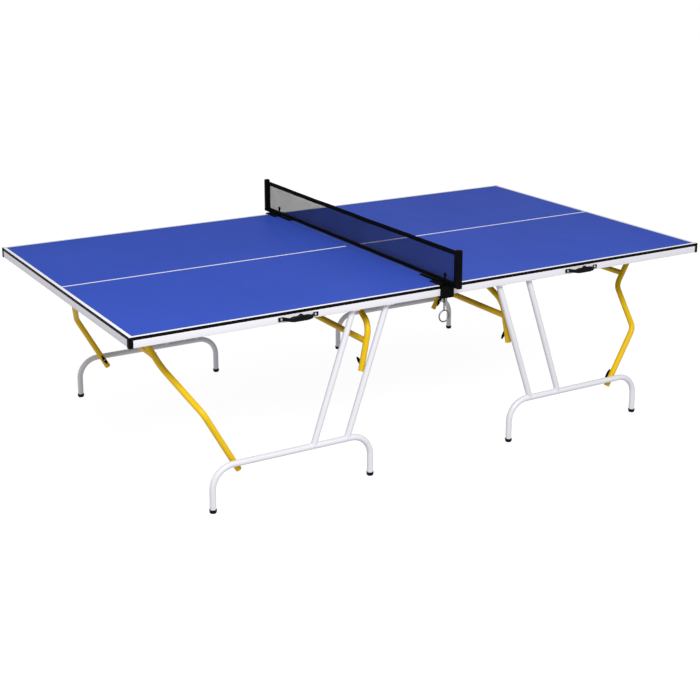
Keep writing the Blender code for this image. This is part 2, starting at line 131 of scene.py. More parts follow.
def add_noise(tree, scale, detail=3.0, stretch=None):
    """Noise on the object's own coordinates, so that it moves with the piece."""
    place = tree.nodes.new("ShaderNodeTexCoord")
    source = place.outputs["Object"]
    if stretch:
        mapping = tree.nodes.new("ShaderNodeMapping")
        mapping.inputs["Scale"].default_value = stretch
        tree.links.new(source, mapping.inputs["Vector"])
        source = mapping.outputs["Vector"]
    noise = tree.nodes.new("ShaderNodeTexNoise")
    noise.inputs["Scale"].default_value = scale
    noise.inputs["Detail"].default_value = detail
    tree.links.new(source, noise.inputs["Vector"])
    return noise


def add_ramp(tree, source, low, high, start=0.3, end=0.7):
    """A colour ramp from low to high over part of its input."""
    ramp = tree.nodes.new("ShaderNodeValToRGB")
    ramp.color_ramp.elements[0].position = start
    ramp.color_ramp.elements[1].position = end
    ramp.color_ramp.elements[0].color = (*low, 1.0)
    ramp.color_ramp.elements[1].color = (*high, 1.0)
    tree.links.new(source, ramp.inputs["Fac"])
    return ramp


def add_range(tree, source, low, high):
    """A map of 0..1 on to low..high."""
    spread = tree.nodes.new("ShaderNodeMapRange")
    spread.inputs["To Min"].default_value = low
    spread.inputs["To Max"].default_value = high
    tree.links.new(source, spread.inputs["Value"])
    return spread.outputs["Result"]


def add_bump(tree, shader, source, strength, distance):
    """A bump on the shader's normal."""
    bump = tree.nodes.new("ShaderNodeBump")
    bump.inputs["Strength"].default_value = strength
    bump.inputs["Distance"].default_value = distance
    tree.links.new(source, bump.inputs["Height"])
    tree.links.new(bump.outputs["Normal"], shader.inputs["Normal"])


def shaded(colour, amount):
    """A colour made darker, or lighter when amount is over 1."""
    return tuple(min(1.0, channel * amount) for channel in colour)


def coated(name, colour, roughness, grain, peel, vary=0.06, shine=0.5):
    """Paint, powder coat or moulded plastic: a fine grain and a slight drift of tone."""
    made, tree, shader = shader_graph(name, roughness)
    shader.inputs["Specular IOR Level"].default_value = shine
    drift = add_noise(tree, 3.0, 4.0)
    ramp = add_ramp(tree, drift.outputs["Fac"], shaded(colour, 1 - vary), shaded(colour, 1 + vary))
    tree.links.new(ramp.outputs["Color"], shader.inputs["Base Color"])
    fine = add_noise(tree, grain, 2.0)
    gloss = add_range(tree, fine.outputs["Fac"], roughness - 0.06, roughness + 0.08)
    tree.links.new(gloss, shader.inputs["Roughness"])
    add_bump(tree, shader, fine.outputs["Fac"], peel, 0.0002)
    return made


def lacquer(name, colour):
    """The matt lacquer of the playing surface, with its fine grain and faint rub marks."""
    made, tree, shader = shader_graph(name, 0.42)
    drift = add_noise(tree, 1.7, 5.0)
    ramp = add_ramp(tree, drift.outputs["Fac"], shaded(colour, 0.96), shaded(colour, 1.04))
    tree.links.new(ramp.outputs["Color"], shader.inputs["Base Color"])
    rubbed = add_noise(tree, 9.0, 8.0, (1.0, 0.35, 1.0))
    gloss = add_range(tree, rubbed.outputs["Fac"], 0.36, 0.50)
    tree.links.new(gloss, shader.inputs["Roughness"])
    grain = add_noise(tree, 1400.0, 2.0)
    add_bump(tree, shader, grain.outputs["Fac"], 0.12, 0.0001)
    shader.inputs["Specular IOR Level"].default_value = 0.015
    return made


def fibreboard(name):
    """The sealed underside of the board."""
    made, tree, shader = shader_graph(name, 0.75)
    fibres = add_noise(tree, 60.0, 9.0, (1.0, 2.5, 1.0))
    ramp = add_ramp(tree, fibres.outputs["Fac"], (0.105, 0.100, 0.095), (0.165, 0.158, 0.150))
    tree.links.new(ramp.outputs["Color"], shader.inputs["Base Color"])
    add_bump(tree, shader, fibres.outputs["Fac"], 0.25, 0.0003)
    return made


def plated(name, low, high):
    """Zinc-plated wire and screws."""
    made, tree, shader = shader_graph(name, 0.42, 0.85)
    streaks = add_noise(tree, 90.0, 6.0, (1.0, 1.0, 0.2))
    ramp = add_ramp(tree, streaks.outputs["Fac"], low, high)
    tree.links.new(ramp.outputs["Color"], shader.inputs["Base Color"])
    gloss = add_range(tree, streaks.outputs["Fac"], 0.32, 0.52)
    tree.links.new(gloss, shader.inputs["Roughness"])
    add_bump(tree, shader, streaks.outputs["Fac"], 0.15, 0.0002)
    return made


def woven(name, colour, pitch):
    """Woven tape or twisted cord: two crossed sets of ribs, with painted shade in the grooves and a
    painted highlight on the crowns.
    """
    made, tree, shader = shader_graph(name, 0.88)
    place = tree.nodes.new("ShaderNodeTexCoord")
    heights = []
    for axis in ('Y', 'Z'):
        ribs = tree.nodes.new("ShaderNodeTexWave")
        ribs.bands_direction = axis
        ribs.inputs["Scale"].default_value = 0.314 / pitch
        tree.links.new(place.outputs["Object"], ribs.inputs["Vector"])
        heights.append(ribs.outputs["Fac"])
    cross = tree.nodes.new("ShaderNodeMath")
    cross.operation = 'MULTIPLY'
    tree.links.new(heights[0], cross.inputs[0])
    tree.links.new(heights[1], cross.inputs[1])
    # painted shade and highlight: the colour is darker in the grooves and lighter on the crowns of
    # the ribs
    ramp = add_ramp(tree, cross.outputs["Value"], shaded(colour, 0.7), shaded(colour, 1.5),
                    0.0, 1.0)
    tree.links.new(ramp.outputs["Color"], shader.inputs["Base Color"])
    add_bump(tree, shader, cross.outputs["Value"], 0.6, 0.0004)
    shader.inputs["Specular IOR Level"].default_value = 0.08
    return made


BLUE = lacquer("blue_lacquer", (0.038, 0.087, 0.488))
LINE = coated("line_paint", (0.88, 0.88, 0.89), 0.5, 900.0, 0.10, 0.02, 0.2)
EDGE = coated("edge_band", (0.003, 0.003, 0.0035), 0.42, 700.0, 0.15, 0.2, 0.10)
UNDER = fibreboard("sealed_fibreboard")
WHITE = coated("white_powder_coat", (0.80, 0.795, 0.835), 0.36, 520.0, 0.22, 0.02)
YELLOW = coated("yellow_powder_coat", (0.85, 0.545, 0.006), 0.34, 520.0, 0.22, 0.04, 0.22)
PLASTIC = coated("black_plastic", (0.0022, 0.0022, 0.0025), 0.42, 1100.0, 0.35, 0.2, 0.06)
RUBBER = coated("black_rubber", (0.003, 0.003, 0.003), 0.50, 1500.0, 0.45, 0.2, 0.14)
STEEL = plated("zinc_plating", (0.20, 0.20, 0.205), (0.33, 0.33, 0.335))
BRIGHT = plated("bright_zinc", (0.52, 0.52, 0.53), (0.68, 0.68, 0.69))
TAPE = woven("net_tape", (0.003, 0.003, 0.0035), 0.0011)
CORD = woven("net_cord", (0.004, 0.004, 0.005), 0.0006)


# ---------------------------------------------------------------- mesh tools
def join(bm, other):
    """Add another bmesh's faces to bm."""
    scratch = bpy.data.meshes.new("scratch")
    other.to_mesh(scratch)
    other.free()
    bm.from_mesh(scratch)
    bpy.data.meshes.remove(scratch)


def piece(name, bm, looks, body, nodes=(), smooth=35):
    """Turn a bmesh into a piece that rides on a body and stands for CAD nodes."""
    bmesh.ops.recalc_face_normals(bm, faces=bm.faces)
    mesh = bpy.data.meshes.new(name)
    bm.to_mesh(mesh)
    bm.free()
    for look in looks:
        mesh.materials.append(look)
    mesh.shade_smooth()
    mesh.set_sharp_from_angle(angle=radians(smooth))
    obj = bpy.data.objects.new(name, mesh)
    bpy.context.scene.collection.objects.link(obj)
    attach(obj, body)
    if nodes:
        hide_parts(*nodes)
    return obj


def block(low, high, bevel=0.001, segments=2):
    """A box with rounded edges, between two opposite corners in any order."""
    low, high = Vector(low), Vector(high)
    size = Vector(abs(a - b) for a, b in zip(low, high))
    bm = bmesh.new()
    bmesh.ops.create_cube(bm, size=1.0)
    bmesh.ops.scale(bm, vec=size, verts=bm.verts)
    bmesh.ops.translate(bm, vec=(low + high) / 2, verts=bm.verts)
    if bevel:
        bmesh.ops.bevel(bm, geom=bm.edges, offset=bevel, segments=segments, profile=0.5,
                        affect='EDGES')
    return bm


def axis_turn(direction):
    """The turn that takes +Z to a direction."""
    return Vector((0, 0, 1)).rotation_difference(Vector(direction)).to_matrix().to_4x4()


def lathe(profile, place, direction=(0, 0, 1), steps=32):
    """A turned shape: (radius, height) points spun round an axis from a place."""
    bm = bmesh.new()
    chain = [bm.verts.new((radius, 0, height)) for radius, height in profile]
    edges = [bm.edges.new(pair) for pair in zip(chain, chain[1:])]
    bmesh.ops.spin(bm, geom=chain + edges, cent=(0, 0, 0), axis=(0, 0, 1), angle=2 * pi,
                   steps=steps)
    bmesh.ops.remove_doubles(bm, verts=bm.verts, dist=0.00001)
    bmesh.ops.transform(bm, matrix=Matrix.Translation(Vector(place)) @ axis_turn(direction),
                        verts=bm.verts)
    return bm


def screw_head(place, direction, radius, tall, steps=24):
    """A domed screw head with a dimple for its recess."""
    profile = [(0.0, tall * 0.55), (radius * 0.30, tall * 0.60), (radius * 0.42, tall),
               (radius * 0.75, tall * 0.92), (radius * 0.95, tall * 0.55), (radius, tall * 0.2),
               (radius, 0.0), (0.0, 0.0)]
    return lathe(profile, place, direction, steps)


def skin(bm, rings, closed=False, capped=False):
    """Faces from each ring of vertices to the next, and over the first and last ring."""
    pairs = list(zip(rings, rings[1:])) + ([(rings[-1], rings[0])] if closed else [])
    for ring, after in pairs:
        for k in range(len(ring)):
            m = (k + 1) % len(ring)
            bm.faces.new((ring[k], ring[m], after[m], after[k]))
    if capped:
        bm.faces.new(rings[0])
        bm.faces.new(rings[-1])


def rounded_path(corners, radii):
    """The corners of a path, with each inner corner replaced by an arc."""
    points = [Vector(corners[0])]
    for before, corner, after, radius in zip(corners, corners[1:], corners[2:], radii):
        corner = Vector(corner)
        back = (Vector(before) - corner).normalized()
        ahead = (Vector(after) - corner).normalized()
        half = back.angle(ahead) / 2
        centre = corner + (back + ahead).normalized() * (radius / sin(half))
        arm = corner + back * (radius / tan(half)) - centre
        spin = ahead.cross(back).normalized()
        for step in range(BEND_STEPS + 1):
            turn = Matrix.Rotation((pi - 2 * half) * step / BEND_STEPS, 3, spin)
            points.append(centre + turn @ arm)
    points.append(Vector(corners[-1]))
    return points


def sweep(points, radius, sides=TUBE_SIDES, closed=False):
    """A round tube along a path, its section carried without twist."""
    bm = bmesh.new()
    points = [Vector(point) for point in points]
    count = len(points)
    rings = []
    side = None
    for index, point in enumerate(points):
        before = points[index - 1] if closed or index else point
        after = points[(index + 1) % count] if closed or index < count - 1 else point
        along = (after - before).normalized()
        if side is None:
            side = along.orthogonal().normalized()
        side = (side - along * side.dot(along)).normalized()
        other = along.cross(side)
        rings.append([
            bm.verts.new(point + (side * cos(2 * pi * k / sides) + other * sin(2 * pi * k / sides))
                         * radius) for k in range(sides)])
    skin(bm, rings, closed=closed, capped=not closed)
    return bm


def weld_bead(place, away, along):
    """The bead where a tube that leaves a place meets an equal tube that runs along."""
    place, away, along = Vector(place), Vector(away).normalized(), Vector(along).normalized()
    out = (away - along * away.dot(along)).normalized()
    across = along.cross(away).normalized()
    lean = away.cross(across).normalized()
    points, count = [], 40
    for step in range(count):
        angle = 2 * pi * step / count
        in_plane = cos(angle) * lean.dot(out)
        reach = (abs(cos(angle)) - in_plane) / away.dot(out)
        points.append(place + (lean * cos(angle) + across * sin(angle) + away * reach)
                      * TUBE_R * 1.01)
    return sweep(points, BEAD_R, 8, closed=True)


# ---------------------------------------------------------------- table tops
def board(half, sx):
    """A half's board: blue lacquer, printed lines, black edge band, sealed underside."""
    low = Vector((min(sx * SEAM_X, sx * HALF_LENGTH), BOARD_LOW.y, BOARD_LOW.z))
    high = Vector((max(sx * SEAM_X, sx * HALF_LENGTH), BOARD_HIGH.y, BOARD_HIGH.z))
    bm = block(low, high, bevel=0)
    line_end = sx * (HALF_LENGTH - BORDER_WIDE)
    cuts = [((line_end, 0, 0), (1, 0, 0)), ((sx * CENTRE_LINE_STOP, 0, 0), (1, 0, 0))]
    for y in (HALF_WIDTH - BORDER_WIDE, CENTRE_LINE_WIDE / 2):
        cuts += [((0, y, 0), (0, 1, 0)), ((0, -y, 0), (0, 1, 0))]
    groove = (BOARD_LOW.z + 0.0052, BOARD_LOW.z + 0.0068)
    cuts += [((0, 0, z), (0, 0, 1)) for z in groove]
    for place, normal in cuts:
        bmesh.ops.bisect_plane(bm, geom=bm.verts[:] + bm.edges[:] + bm.faces[:],
                               plane_co=place, plane_no=normal)
    bmesh.ops.recalc_face_normals(bm, faces=bm.faces)
    for face in bm.faces:
        middle = face.calc_center_median()
        if face.normal.z > 0.5:
            border = abs(middle.y) > HALF_WIDTH - BORDER_WIDE or abs(middle.x) > abs(line_end)
            centre = abs(middle.y) < CENTRE_LINE_WIDE / 2 and abs(middle.x) > CENTRE_LINE_STOP
            face.material_index = 1 if border or centre else 0
        else:
            face.material_index = 3 if face.normal.z < -0.5 else 2
    ring = [f for f in bm.faces if abs(f.normal.z) < 0.5
            and groove[0] < f.calc_center_median().z < groove[1]]
    bmesh.ops.inset_region(bm, faces=ring, thickness=0.0003, depth=-0.0007)
    rim = [e for e in bm.edges if len(e.link_faces) == 2 and e.calc_face_angle(0) > 1.2
           and all(abs(vert.co.z - BOARD_HIGH.z) < 1e-6 for vert in e.verts)]
    bmesh.ops.bevel(bm, geom=rim, offset=0.0008, segments=2, profile=0.5, affect='EDGES',
                    material=2)
    piece(f"{half}_table_top", bm, (BLUE, LINE, EDGE, UNDER), f"{half}_half",
          [f"{half}_board"])


def rail_frame(half, sx):
    """The rails round a half: one section with rounded edges, mitred at the corners."""
    top, bottom = RAIL_HIGH.z, RAIL_LOW.z
    tall, r = top - bottom, 0.0025
    profile = []
    for cx, cz, start in ((r, r, pi), (RAIL_WIDE - r, r, 1.5 * pi),
                          (RAIL_WIDE - r, tall - r, 0.0), (r, tall - r, 0.5 * pi)):
        for step in range(5):
            angle = start + 0.5 * pi * step / 4
            profile.append((cx + r * cos(angle), cz + r * sin(angle)))
    bm = bmesh.new()
    loops = []
    for corner_x, corner_y in ((0, -1), (1, -1), (1, 1), (0, 1)):
        loop = []
        for inward, up in profile:
            x = HALF_LENGTH - inward if corner_x else SEAM_X + inward
            loop.append(bm.verts.new((sx * x, corner_y * (HALF_WIDTH - inward), bottom + up)))
        loops.append(loop)
    skin(bm, loops, closed=True)
    for x in RAIL_SCREW_X:
        for side in (-1, 1):
            place = (sx * x, side * (HALF_WIDTH - RAIL_WIDE / 2), bottom)
            join(bm, screw_head(place, (0, 0, -1), 0.0042, 0.0006))
    piece(f"{half}_rails", bm, (WHITE,), f"{half}_half", [f"{half}_frame"])


def corner_cap(half, sx, side, sy):
    """A moulded corner cap: two short wings round a corner, with rounded edges."""
    name = f"{half}_{side}_corner_cap"
    low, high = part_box(name)
    thick, r, shorter = 0.0022, 0.0060, 0.0040
    inner_x, outer_x = (low.x + shorter, high.x) if sx > 0 else (high.x - shorter, low.x)
    inner_y, outer_y = (low.y, high.y) if sy > 0 else (high.y, low.y)
    arc = [radians(90 - 15 * step) for step in range(7)]
    outline = [(inner_x, outer_y)]
    outline += [(outer_x - sx * r * (1 - cos(a)), outer_y - sy * r * (1 - sin(a))) for a in arc]
    outline += [(outer_x, inner_y), (outer_x - sx * thick, inner_y)]
    inner_r = r - thick
    outline += [(outer_x - sx * (thick + inner_r * (1 - cos(a))),
                 outer_y - sy * (thick + inner_r * (1 - sin(a)))) for a in reversed(arc)]
    outline += [(inner_x, outer_y - sy * thick)]
    bm = bmesh.new()
    base = bm.faces.new([bm.verts.new((x, y, low.z)) for x, y in outline])
    raised = bmesh.ops.extrude_face_region(bm, geom=[base])
    bmesh.ops.translate(bm, vec=(0, 0, high.z - low.z),
                        verts=[v for v in raised["geom"] if isinstance(v, bmesh.types.BMVert)])
    bmesh.ops.recalc_face_normals(bm, faces=bm.faces)
    ends = [e for e in bm.edges if abs(e.verts[0].co.z - e.verts[1].co.z) < 1e-6
            and 0.001 < e.calc_length() < 0.003 and e.verts[0].co.z < high.z]
    bmesh.ops.bevel(bm, geom=ends, offset=0.0008, segments=2, profile=0.5, affect='EDGES')
    mid_z = (low.z + high.z) / 2 - 0.006
    join(bm, screw_head((outer_x - sx * 0.0095, outer_y, mid_z), (0, sy, 0), 0.0026, 0.0006))
    piece(f"{name}_moulding", bm, (PLASTIC,), f"{half}_half", [name])


def smooth_step(value):
    """0 below 0, 1 above 1, eased between."""
    value = min(1.0, max(0.0, value))
    return value * value * (3 - 2 * value)


def handle(half, side, sy):
    """A carry handle: square strap ends under screws and a fat bowed grip with finger ribs."""
    name = f"{half}_{side}_handle"
    low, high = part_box(name)
    middle = (low + high) / 2
    half_long = (high.x - low.x) / 2
    face_y = HALF_WIDTH + GAP
    steps, around = 96, 24
    bm = bmesh.new()
    rings = []
    for step in range(steps + 1):
        x = -half_long + 2 * half_long * step / steps
        along = abs(x) / half_long
        lift = smooth_step((0.80 - along) / 0.26)   # off the rail, between the strap ends
        fat = smooth_step((0.70 - along) / 0.40)    # full in the grip
        out = 0.0024 + 0.0222 * lift
        thick = 0.0022 + 0.0012 * lift + 0.0044 * fat
        tall = 0.0080 - 0.0016 * lift + 0.0050 * fat
        tall -= 0.0007 * fat * (0.5 + 0.5 * cos(2 * pi * x / 0.0115))
        square = 0.35 + 0.25 * lift
        if along > 0.985:
            tall -= 0.0010
            thick -= 0.0005
        peak = 0.0080 * max(0.0, 1 - abs(x) / 0.0130)
        ring = []
        for k in range(around):
            angle = 2 * pi * (k + 0.5) / around
            c, s = cos(angle), sin(angle)
            flat = abs(c) ** square * (1 if c > 0 else -1)
            up = abs(s) ** square * (1 if s > 0 else -1)
            z = up * tall + (peak if s > 0.5 else 0.0)
            ring.append(bm.verts.new((middle.x + x, sy * (face_y + out + flat * thick),
                                      middle.z + z)))
        rings.append(ring)
    skin(bm, rings, capped=True)
    piece(f"{name}_grip", bm, (RUBBER,), f"{half}_half", [name], smooth=50)
    screws = bmesh.new()
    for end in (-1, 1):
        place = (middle.x + end * (half_long - 0.0125), sy * (face_y + 0.0042), middle.z)
        join(screws, screw_head(place, (0, sy, 0), 0.0050, 0.0020))
    piece(f"{name}_screws", screws, (BRIGHT,), f"{half}_half")


# ---------------------------------------------------------------- leg frames
def leg(half, sx, side, sy):
    """A leg frame of bent tube with welded stays and hinge lugs."""
    name = f"{half}_{side}_leg"
    feet = [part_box(f"{half}_{side}_{which}_foot") for which in ("inner", "outer")]
    (inner, y), (outer, _) = [((lo.x + hi.x) / 2, (lo.y + hi.y) / 2) for lo, hi in feet]
    low_z = feet[0][1].z - 0.006
    top_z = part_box(name)[1].z
    corners = [(inner, y, low_z), (inner, y, BASE_BAR_Z), (outer, y, BASE_BAR_Z), (outer, y, low_z)]
    bm = sweep(rounded_path(corners, (FOOT_BEND_R, FOOT_BEND_R)), TUBE_R)
    _, hinge_y, hinge_z = joint_place(f"{name}_fold")
    for top_x, bottom_x in zip(STAY_TOP_X, STAY_BOTTOM_X):
        foot = Vector((sx * bottom_x, y, BASE_BAR_Z))
        head = Vector((sx * top_x, y, top_z))
        stay = sweep([foot, head], TUBE_R)
        run = (head - foot).normalized()
        for vert in stay.verts:
            if vert.co.z > (foot.z + head.z) / 2:   # the top end is cut level
                vert.co += run * ((top_z - vert.co.z) / run.z)
        join(bm, stay)
        join(bm, weld_bead(foot, head - foot, (1, 0, 0)))
        lug = block((sx * top_x - 0.005, hinge_y - sy * 0.0034, hinge_z - 0.0025),
                    (sx * top_x + 0.005, y - sy * 0.004, hinge_z + 0.0023), 0.0008)
        join(bm, lug)
    piece(f"{name}_frame", bm, (WHITE,), name, [name])
    for which, (lo, hi) in zip(("inner", "outer"), feet):
        node = f"{half}_{side}_{which}_foot"
        r, tall = (hi.x - lo.x) / 2, hi.z - lo.z
        profile = [(0.0, tall * 0.7), (TUBE_R + 0.0001, tall * 0.7), (TUBE_R + 0.0003, tall),
                   (r * 0.94, tall), (r * 0.985, tall * 0.97), (r, tall * 0.91),
                   (r * 0.985, tall * 0.70), (r * 0.96, tall * 0.50), (r * 0.925, tall * 0.30),
                   (r * 0.87, tall * 0.16), (r * 0.80, tall * 0.05), (r * 0.70, 0.0),
                   (r * 0.45, 0.0), (r * 0.40, tall * 0.05), (0.0, tall * 0.05)]
        cap = lathe(profile, ((lo.x + hi.x) / 2, (lo.y + hi.y) / 2, lo.z), steps=40)
        piece(f"{node}_cap", cap, (RUBBER,), name, [node])


def leg_hinges(half, sx, side, sy):
    """The fixed brackets that carry a leg: plate, ears and riveted pin; their screws are not drawn.
    """
    _, hinge_y, hinge_z = joint_place(f"{half}_{side}_leg_fold")
    for which, top_x in zip(("inner", "outer"), STAY_TOP_X):
        node = f"{half}_{side}_{which}_leg_hinge"
        low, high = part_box(node)
        plate_z = RAIL_LOW.z - 0.0023
        x = sx * top_x
        bm = block((low.x, low.y, plate_z), (high.x, high.y, RAIL_LOW.z - GAP), 0.0006)
        for end in (-1, 1):
            near, far = x + end * 0.0053, x + end * 0.0083
            join(bm, block((near, hinge_y - sy * 0.0045, hinge_z - 0.0025),
                           (far, hinge_y + sy * 0.0025, plate_z + 0.0005), 0.0007))
            rivet = lathe([(0.0, 0.0013), (0.0012, 0.0012), (0.0022, 0.0005), (0.0023, 0.0),
                           (0.0, 0.0)], (far, hinge_y, hinge_z), (end, 0, 0), 16)
            join(bm, rivet)
        join(bm, sweep([(x - 0.0083, hinge_y, hinge_z), (x + 0.0083, hinge_y, hinge_z)], 0.0015,
                       12))
        piece(f"{node}_bracket", bm, (WHITE,), f"{half}_half", [node])


# ---------------------------------------------------------------- braces
def brace_point(sx, plan, y, along):
    """A point of a brace, from its place across the table and its distance from the axle."""
    return Vector((sx * (plan["axle_x"] + along * sin(plan["tilt"])), y,
                   AXLE_Z - along * cos(plan["tilt"])))


def brace(half, sx, which, plan):
    """A brace: one bent tube with its axle in the middle, a welded bar and end plugs."""
    name = f"{half}_{which}_brace"
    arm = plan["arm"]
    there = [brace_point(sx, plan, -y, along) for y, along in arm]
    back = [brace_point(sx, plan, y, along) for y, along in reversed(arm)]
    bm = sweep(rounded_path(there + back, plan["radii"] + plan["radii"][::-1]), TUBE_R)
    bar_y, bar_along = plan["bar"]
    ends = [brace_point(sx, plan, side * bar_y, bar_along) for side in (-1, 1)]
    join(bm, sweep(ends, TUBE_R))
    run = (brace_point(sx, plan, 0, 1.0) - brace_point(sx, plan, 0, 0.0)).normalized()
    join(bm, weld_bead(ends[0], (0, 1, 0), run))
    join(bm, weld_bead(ends[1], (0, -1, 0), run))
    piece(f"{name}_tube", bm, (YELLOW,), name, [name])
    for side, sy in SIDES:
        end = brace_point(sx, plan, sy * arm[0][0], arm[0][1] - 0.0004)
        plug = lathe([(0.0, 0.0016), (TUBE_R * 0.55, 0.0015), (TUBE_R * 0.86, 0.0008),
                      (TUBE_R * 0.94, 0.0), (0.0, 0.0)], end, run, 24)
        piece(f"{half}_{side}_{which}_plug", plug, (YELLOW,), name)


def knob(half, sx, side, sy, which, plan):
    """A clamping knob: a long pointed wing on a collar, with a screw in its middle."""
    node = f"{half}_{side}_{which}_knob"
    place = brace_point(sx, plan, sy * (plan["arm"][0][0] - TUBE_R - GAP), plan["knob"])
    askew = KNOB_ASKEW if (side, which) == ("near", "inner") else 0.0
    along = Matrix.Rotation(-sx * (plan["tilt"] - askew), 3, 'Y') @ Vector((0, 0, 1))
    inward = Vector((0, -sy, 0))
    across = along.cross(inward)
    stem, thick, long_r, wide_r, around = 0.0070, 0.0070, 0.0258, 0.0070, 48
    layers = ((0.0, 0.86), (0.0006, 0.94), (0.0018, 1.0), (0.0040, 1.0), (0.0056, 0.95),
              (0.0066, 0.84), (thick, 0.62))
    bm = bmesh.new()
    rings = []
    for height, scale in layers:
        ring = []
        for k in range(around):
            angle = 2 * pi * k / around
            reach = long_r * cos(angle) * (0.90 + 0.10 * scale)
            wide = wide_r * sin(angle) * (0.62 + 0.38 * abs(sin(angle))) * scale
            sink = 0.0012 * abs(cos(angle)) ** 3 * height / thick
            ring.append(bm.verts.new(place + inward * (stem + height - sink) + along * reach
                                     + across * wide))
        rings.append(ring)
    skin(bm, rings, capped=True)
    collar = [(0.0, 0.0), (0.0052, 0.0), (0.0052, 0.0012), (0.0042, 0.0022), (0.0040, stem),
              (0.0, stem)]
    join(bm, lathe(collar, place, inward, 20))
    piece(f"{node}_wing", bm, (PLASTIC,), node, [node], smooth=45)
    screw = screw_head(place + inward * (stem + thick - 0.0006), inward, 0.0034, 0.0012)
    piece(f"{node}_screw", screw, (BRIGHT,), node)


def bearing(half, side, which):
    """A moulded block that carries a brace's axle, rounded below, with a rib at each end of its
    flange; its screws to the board are not drawn.
    """
    node = f"{half}_{side}_{which}_bearing"
    low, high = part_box(node)
    x, y = (low.x + high.x) / 2, (low.y + high.y) / 2
    outer_r, inner_r, flange, flange_thick = AXLE_Z - low.z, TUBE_R + 0.0004, 0.016, 0.004
    flange_z = (high.z - AXLE_Z, high.z - AXLE_Z - flange_thick)
    outline = [(-flange, z) for z in flange_z]
    for step in range(17):
        angle = pi + pi * step / 16
        outline.append((outer_r * cos(angle), outer_r * sin(angle)))
    outline += [(flange, z) for z in reversed(flange_z)]
    bm = bmesh.new()
    count = 48
    faces_at = []
    for side_y in (low.y, high.y):
        outer = [bm.verts.new((x + dx, side_y, AXLE_Z + dz)) for dx, dz in outline]
        inner = [bm.verts.new((x + inner_r * cos(2 * pi * k / count), side_y,
                               AXLE_Z + inner_r * sin(2 * pi * k / count))) for k in range(count)]
        rim = [bm.edges.new(p) for p in zip(outer, outer[1:] + outer[:1])]
        rim += [bm.edges.new(p) for p in zip(inner, inner[1:] + inner[:1])]
        bmesh.ops.triangle_fill(bm, edges=rim, use_beauty=True)
        faces_at.append((outer, inner))
    (outer_a, inner_a), (outer_b, inner_b) = faces_at
    skin(bm, (outer_a, outer_b))
    skin(bm, (inner_a, inner_b))
    for end in (-1, 1):
        rib = block((x + end * 0.0125, y - 0.002, high.z - 0.010),
                    (x + end * 0.0157, y + 0.002, high.z - 0.001), 0.0004)
        join(bm, rib)
    piece(f"{node}_block", bm, (PLASTIC,), f"{half}_half", [node])


# ---------------------------------------------------------------- net set
def clamp(side, sy):
    """The net clamp: jaws, ribbed web, post arm, tongue and peg in one, and a guide rod."""
    node = f"{side}_clamp"
    low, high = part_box(node)
    post_low, post_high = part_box(f"{side}_post")
    left, right = low.x, high.x
    jaw_z, jaw_top = BOARD_HIGH.z + GAP, post_low.z - GAP
    web_in, web_out = HALF_WIDTH + GAP, HALF_WIDTH + GAP + WEB_THICK
    bottom, root_y = LOWER_JAW_Z[0], sy * (JAW_Y + 0.006)
    bm = block((left, sy * JAW_Y, jaw_z), (right, sy * web_out, jaw_top), 0.0009)
    join(bm, block((post_low.x, sy * web_in, jaw_z), (post_high.x, sy * POST_ARM_Y, jaw_top),
                   0.0009))
    join(bm, block((left, sy * web_in, bottom), (right, sy * web_out, jaw_top), 0.0012))
    join(bm, block((left, sy * LOWER_JAW_Y, bottom), (right, sy * web_out, LOWER_JAW_Z[1]),
                   0.0010))
    for x in (left + 0.010, (left + right) / 2, right - 0.010):
        join(bm, block((x - 0.0015, root_y, jaw_top - 0.0002),
                       (x + 0.0015, sy * (web_out - 0.002), jaw_top + 0.0014), 0.0005))
    join(bm, block((TONGUE_X[0], sy * TONGUE_Y, jaw_z),
                   (TONGUE_X[1], root_y, jaw_z + TONGUE_THICK), 0.0008))
    join(bm, block((TONGUE_X[0] + 0.0015, sy * (TONGUE_Y + 0.0025), jaw_z + 0.003),
                   (TONGUE_X[0] + 0.0045, root_y, jaw_z + 0.0040), 0.0004))
    screw_x, screw_y, _ = joint_place(f"{side}_screw_turn")
    guide_x = screw_x + GUIDE_FROM_SCREW
    guide = sweep([(guide_x, screw_y, bottom + 0.001), (guide_x, screw_y, low.z)], GUIDE_R, 14)
    piece(f"{side}_guide_rod", guide, (BRIGHT,), "left_half")
    peg = [(0.0, 0.0), (0.0062, 0.0), (0.0058, 0.0020), (0.0044, 0.0032), (0.0042, 0.0210),
           (0.0060, 0.0235), (0.0064, 0.0280), (0.0052, 0.0325), (0.0026, 0.0355), (0.0, 0.0365)]
    join(bm, lathe(peg, (PEG_PLACE[0], sy * PEG_PLACE[1], jaw_top - 0.0005), steps=20))
    piece(f"{node}_moulding", bm, (PLASTIC,), "left_half", [node])


def clamp_screw(side):
    """The clamp's screw: pressure pad, threaded rod and wire ring."""
    node = f"{side}_clamp_screw"
    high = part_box(node)[1]
    x, y, ring_z = joint_place(f"{side}_screw_turn")
    thread_end, pitch, deep = ring_z + RING_R + 0.006, 0.0016, 0.0006
    profile = [(0.0, high.z), (0.0086, high.z), (0.0090, high.z - 0.0006),
               (0.0090, high.z - 0.0022), (0.0080, high.z - 0.0026), (SCREW_R, high.z - 0.0028)]
    z = high.z - 0.004
    while z > thread_end:
        profile += [(SCREW_R, z), (SCREW_R - deep, z - pitch / 2)]
        z -= pitch
    profile += [(SCREW_R, z), (SCREW_R, ring_z + RING_R - 0.001), (0.0, ring_z + RING_R - 0.002)]
    bm = lathe(profile, (x, y, 0.0), steps=20)
    around = 48
    loop = [(x + RING_R * cos(2 * pi * k / around), y, ring_z + RING_R * sin(2 * pi * k / around))
            for k in range(around)]
    join(bm, sweep(loop, RING_WIRE_R, 12, closed=True))
    piece(f"{node}_zinc", bm, (STEEL,), node, [node], smooth=50)


